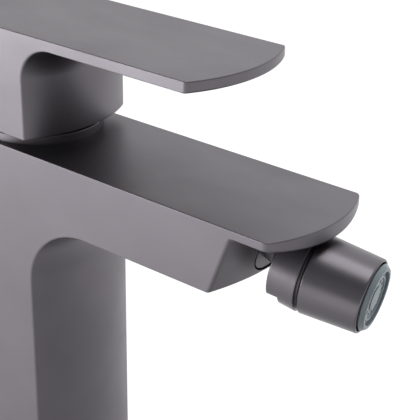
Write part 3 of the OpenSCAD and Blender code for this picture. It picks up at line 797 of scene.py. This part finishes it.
sleeve = lathe("sleeve", [
    (SPIGOT_R + THREAD_GAP, sleeve_start, 0),
    (COLLAR_R - SLEEVE_LIP, sleeve_start, 0.1),
    (COLLAR_R, sleeve_start + SLEEVE_LIP, 0.15),
    (SLEEVE_FRONT_R, sleeve_end, 0.5),
    (AERATOR_R + RIM_GAP, sleeve_end, 0.12),
    (AERATOR_R + RIM_GAP, sleeve_end - RIM_GAP_DEPTH, 0),
    (AERATOR_R + THREAD_GAP, sleeve_end - RIM_GAP_DEPTH, 0),
    (AERATOR_R + THREAD_GAP, aerator_start, 0),
    (SPIGOT_R + THREAD_GAP, aerator_start, 0),
], nozzle_place)
smooth(sleeve)
dress(sleeve, "nozzle", "satin_graphite", "nozzle_sleeve", finish=turned_finish)

# %% [markdown]
# The aerator is soft grey-blue plastic. Its bevelled rim stands out of the sleeve,
# and a narrow neck behind the rim leaves the dark line that is seen between the two.

# %% Aerator rim
FACE_R = AERATOR_R - 1.0
BORE_R = FACE_R - 1.0
NECK_R = AERATOR_R - 0.8
FACE_EDGE = 0.2
FACE_SLOPE = 1.2
EDGE_START = aerator_end - FACE_SLOPE - FACE_EDGE
SLOT_START = sleeve_end - RIM_GAP_DEPTH
aerator = lathe("aerator_rim", [
    (BORE_R, aerator_start, 0),
    (AERATOR_R, aerator_start, 0),
    (AERATOR_R, SLOT_START, 0),
    (NECK_R, SLOT_START, 0),
    (NECK_R, EDGE_START, 0),
    (AERATOR_R, EDGE_START, 0.06),
    (AERATOR_R, EDGE_START + FACE_EDGE, 0.06),
    (FACE_R, aerator_end, 0.25),
    (BORE_R, aerator_end, 0.15),
], nozzle_place)
smooth(aerator)
dress(aerator, "nozzle", "aerator_plastic", "aerator_housing")

# %% [markdown]
# The aerator's face has plain concentric rings, and a ring of small holes lets the water out.

# %% Aerator face
RING_DEPTH = 0.35
RING_OUTER = 7.2
RING_INNER = 6.3
MIDDLE_DISC = 3.8
RING_SLOPE = 0.1
HOLE_COUNT = 12
HOLE_RING = 5.15
HOLE_R = 0.55
HOLE_TURN = 0.02
HOLE_PAST = 1.0
grille_start, grille_end = along_axis("aerator_grille")
grille = lathe("aerator_face", [
    (0.0, grille_start, 0),
    (BORE_R - THREAD_GAP, grille_start, 0),
    (BORE_R - THREAD_GAP, grille_end - RING_DEPTH, 0.05),
    (RING_OUTER, grille_end - RING_DEPTH, 0.05),
    (RING_OUTER - RING_SLOPE, grille_end, 0.08),
    (RING_INNER + RING_SLOPE, grille_end, 0.08),
    (RING_INNER, grille_end - RING_DEPTH, 0.05),
    (MIDDLE_DISC, grille_end - RING_DEPTH, 0.05),
    (MIDDLE_DISC - RING_SLOPE, grille_end, 0.08),
    (0.0, grille_end, 0),
], nozzle_place)
for hole in range(HOLE_COUNT):
    spin = Matrix.Rotation(2 * math.pi * (hole + HOLE_TURN) / HOLE_COUNT, 4, "Z")
    hole_place = nozzle_place @ spin @ upright(HOLE_RING * MM, 0, (grille_start - HOLE_PAST) * MM)
    drill(grille, hole_place, HOLE_R * MM, (grille_end - grille_start + 2 * HOLE_PAST) * MM, sides=24)
smooth(grille)
dress(grille, "nozzle", "aerator_plastic", "aerator_grille")

# %% [markdown]
# The trim ring closes the gap between body and lever, and its dome follows the lever's pivot.
# It is turned on the same lathe, about the cartridge axis.

# %% Cap ring
_, cap_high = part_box("cap_ring")
PIVOT_Z = joints["lever_lift"]["pos_m"][2] / MM
CAP_R = cap_high.x / MM
CAP_BORE = 13.33
CAP_HEIGHT = 3.0
CAP_RING_TOP = SPOUT_TOP / MM + CAP_HEIGHT
DOME_R = 15.0
DOME_WALL = 1.1


def dome_arc(radius, low, high):
    """Points up the dome's round wall, from height low to height high."""
    first = math.asin((low - PIVOT_Z) / radius)
    last = math.asin((high - PIVOT_Z) / radius)
    angles = [first + (last - first) * step / THROAT_STEPS for step in range(THROAT_STEPS + 1)]
    return [(radius * math.cos(a), PIVOT_Z + radius * math.sin(a), 0) for a in angles]


cap = lathe("cap_trim", [
    (CAP_BORE, SPOUT_TOP / MM, 0),
    (CAP_R, SPOUT_TOP / MM, 0),
    (CAP_R, CAP_RING_TOP, 0.5),
] + dome_arc(DOME_R, CAP_RING_TOP, cap_high.z / MM)
  + list(reversed(dome_arc(DOME_R - DOME_WALL, CAP_RING_TOP, cap_high.z / MM))), Matrix.Identity(4))
smooth(cap)
dress(cap, "fixed", "satin_graphite", "cap_ring")

# %% [markdown]
# The studio is plain: a pale floor that runs to the horizon and a white surround.
# To the camera the floor is simply white, and the metal reflects that white floor too.
# A satin finish looks flat where everything round it is equally bright, so the floor's white falls off
# in front of the column, where a real floor would lie in the shade of the spout.

# %% Floor
FLOOR_SIZE = 8.0
FLOOR_GAP = 0.2 * MM
FLOOR_GREY = 0.5
FLOOR_WHITE = 0.64
MIRRORED_WHITE = 0.85
SHADE_LEVEL = 0.0
SHADE_CENTRE = (0.2, -0.03)
SHADE_RADIUS = 0.28


def flat_sheet(name, low, high, z):
    """A level rectangle between two (x, y) corners."""
    mesh = bpy.data.meshes.new(name)
    corners = [(low[0], low[1], z), (high[0], low[1], z), (high[0], high[1], z), (low[0], high[1], z)]
    mesh.from_pydata(corners, [], [(0, 1, 2, 3)])
    sheet = bpy.data.objects.new(name, mesh)
    bpy.context.scene.collection.objects.link(sheet)
    return sheet


def floor_paint(height):
    """Pale paint, white to the camera and to shiny surfaces, with a soft shade under the spout."""
    paint = bpy.data.materials.new("floor_paint")
    paint.use_nodes = True
    nodes, links = paint.node_tree.nodes, paint.node_tree.links
    shader = nodes["Principled BSDF"]
    shader.inputs["Base Color"].default_value = (FLOOR_GREY, FLOOR_GREY, FLOOR_GREY, 1.0)
    shader.inputs["Roughness"].default_value = 0.8
    shader.inputs["Emission Color"].default_value = (1.0, 1.0, 1.0, 1.0)
    place = nodes.new("ShaderNodeTexCoord")
    reach = nodes.new("ShaderNodeVectorMath")
    reach.operation = "DISTANCE"
    reach.inputs[1].default_value = (*SHADE_CENTRE, height)
    links.new(place.outputs["Object"], reach.inputs[0])
    shade = nodes.new("ShaderNodeMapRange")
    shade.inputs["From Max"].default_value = SHADE_RADIUS
    shade.inputs["To Min"].default_value = SHADE_LEVEL
    shade.inputs["To Max"].default_value = MIRRORED_WHITE
    links.new(reach.outputs["Value"], shade.inputs["Value"])
    rays = nodes.new("ShaderNodeLightPath")
    shiny = nodes.new("ShaderNodeMath")
    shiny.operation = "MAXIMUM"
    links.new(rays.outputs["Is Glossy Ray"], shiny.inputs[0])
    links.new(rays.outputs["Is Transmission Ray"], shiny.inputs[1])
    shown = nodes.new("ShaderNodeMath")
    shown.operation = "MULTIPLY"
    links.new(shade.outputs["Result"], shown.inputs[0])
    links.new(shiny.outputs[0], shown.inputs[1])
    glow = nodes.new("ShaderNodeMix")
    glow.inputs["B"].default_value = FLOOR_WHITE
    links.new(rays.outputs["Is Camera Ray"], glow.inputs["Factor"])
    links.new(shown.outputs[0], glow.inputs["A"])
    links.new(glow.outputs["Result"], shader.inputs["Emission Strength"])
    return paint


floor_z = cad_low.z - FLOOR_GAP
half_floor = FLOOR_SIZE / 2
floor = flat_sheet("floor", (-half_floor, -half_floor), (half_floor, half_floor), floor_z)
floor.data.materials.append(floor_paint(floor_z))
print("floor at", round(floor_z / MM, 1), "mm")

# %% [markdown]
# The surround is the world itself. For the camera it is white. For everything else it is a slow change from
# a dim side to a bright one, as a room with one large window behind on the left would give.

# %% Surround
SURROUND_LOW = 0.25
SURROUND_HIGH = 1.25
BRIGHT_SIDE = Vector((-0.35, 0.8, 0.45)).normalized()


def paint_surround(world):
    """White to the camera; for everything else a slow change from the dim side to the bright one."""
    world.use_nodes = True
    nodes, links = world.node_tree.nodes, world.node_tree.links
    surround = nodes["Background"]
    surround.inputs["Color"].default_value = (1.0, 1.0, 1.0, 1.0)
    place = nodes.new("ShaderNodeTexCoord")
    facing = nodes.new("ShaderNodeVectorMath")
    facing.operation = "DOT_PRODUCT"
    facing.inputs[1].default_value = BRIGHT_SIDE
    links.new(place.outputs["Generated"], facing.inputs[0])
    fade = nodes.new("ShaderNodeMapRange")
    fade.inputs["To Min"].default_value = SURROUND_LOW
    fade.inputs["To Max"].default_value = SURROUND_HIGH
    links.new(facing.outputs["Value"], fade.inputs["Value"])
    rays = nodes.new("ShaderNodeLightPath")
    strength = nodes.new("ShaderNodeMix")
    strength.inputs["B"].default_value = 1.0
    links.new(rays.outputs["Is Camera Ray"], strength.inputs["Factor"])
    links.new(fade.outputs["Result"], strength.inputs["A"])
    links.new(strength.outputs["Result"], surround.inputs["Strength"])


bpy.context.scene.world = bpy.data.worlds.new("studio")
paint_surround(bpy.context.scene.world)
print("surround from", SURROUND_LOW, "to", SURROUND_HIGH)

# %% [markdown]
# Three soft lamps do the rest. A low panel at the near left gives the flat sides their even grey,
# a square one above draws the long bright band along the round nozzle,
# and a dim card beside the camera keeps the middle of the nozzle from going dark.

# %% Lamps
def lamp(name, place, aim, size, power):
    """A soft rectangular lamp, size (wide, high), at place that shines towards aim."""
    light = bpy.data.objects.new(name, bpy.data.lights.new(name, "AREA"))
    light.data.shape = "RECTANGLE"
    light.data.size, light.data.size_y = size
    light.data.energy = power
    light.location = place
    light.rotation_mode = "QUATERNION"
    light.rotation_quaternion = (Vector(aim) - Vector(place)).to_track_quat("-Z", "Y")
    bpy.context.scene.collection.objects.link(light)
    return light


lamp("panel_left", (-0.45, -0.65, 0.1), (0.05, 0.0, 0.1), (0.6, 0.25), 4.2)
lamp("card_front", (0.55, -0.66, 0.4), (0.1, 0.0, 0.1), (0.8, 0.5), 0.2)
lamp("soft_above", (0.12, 0.0, 0.75), (0.12, 0.0, 0.0), (0.4, 0.4), 1.2)

# %% [markdown]
# The last step sets a plain view transform, so that a colour renders as it is written.

# %% Finish
bpy.context.scene.view_settings.view_transform = "Standard"
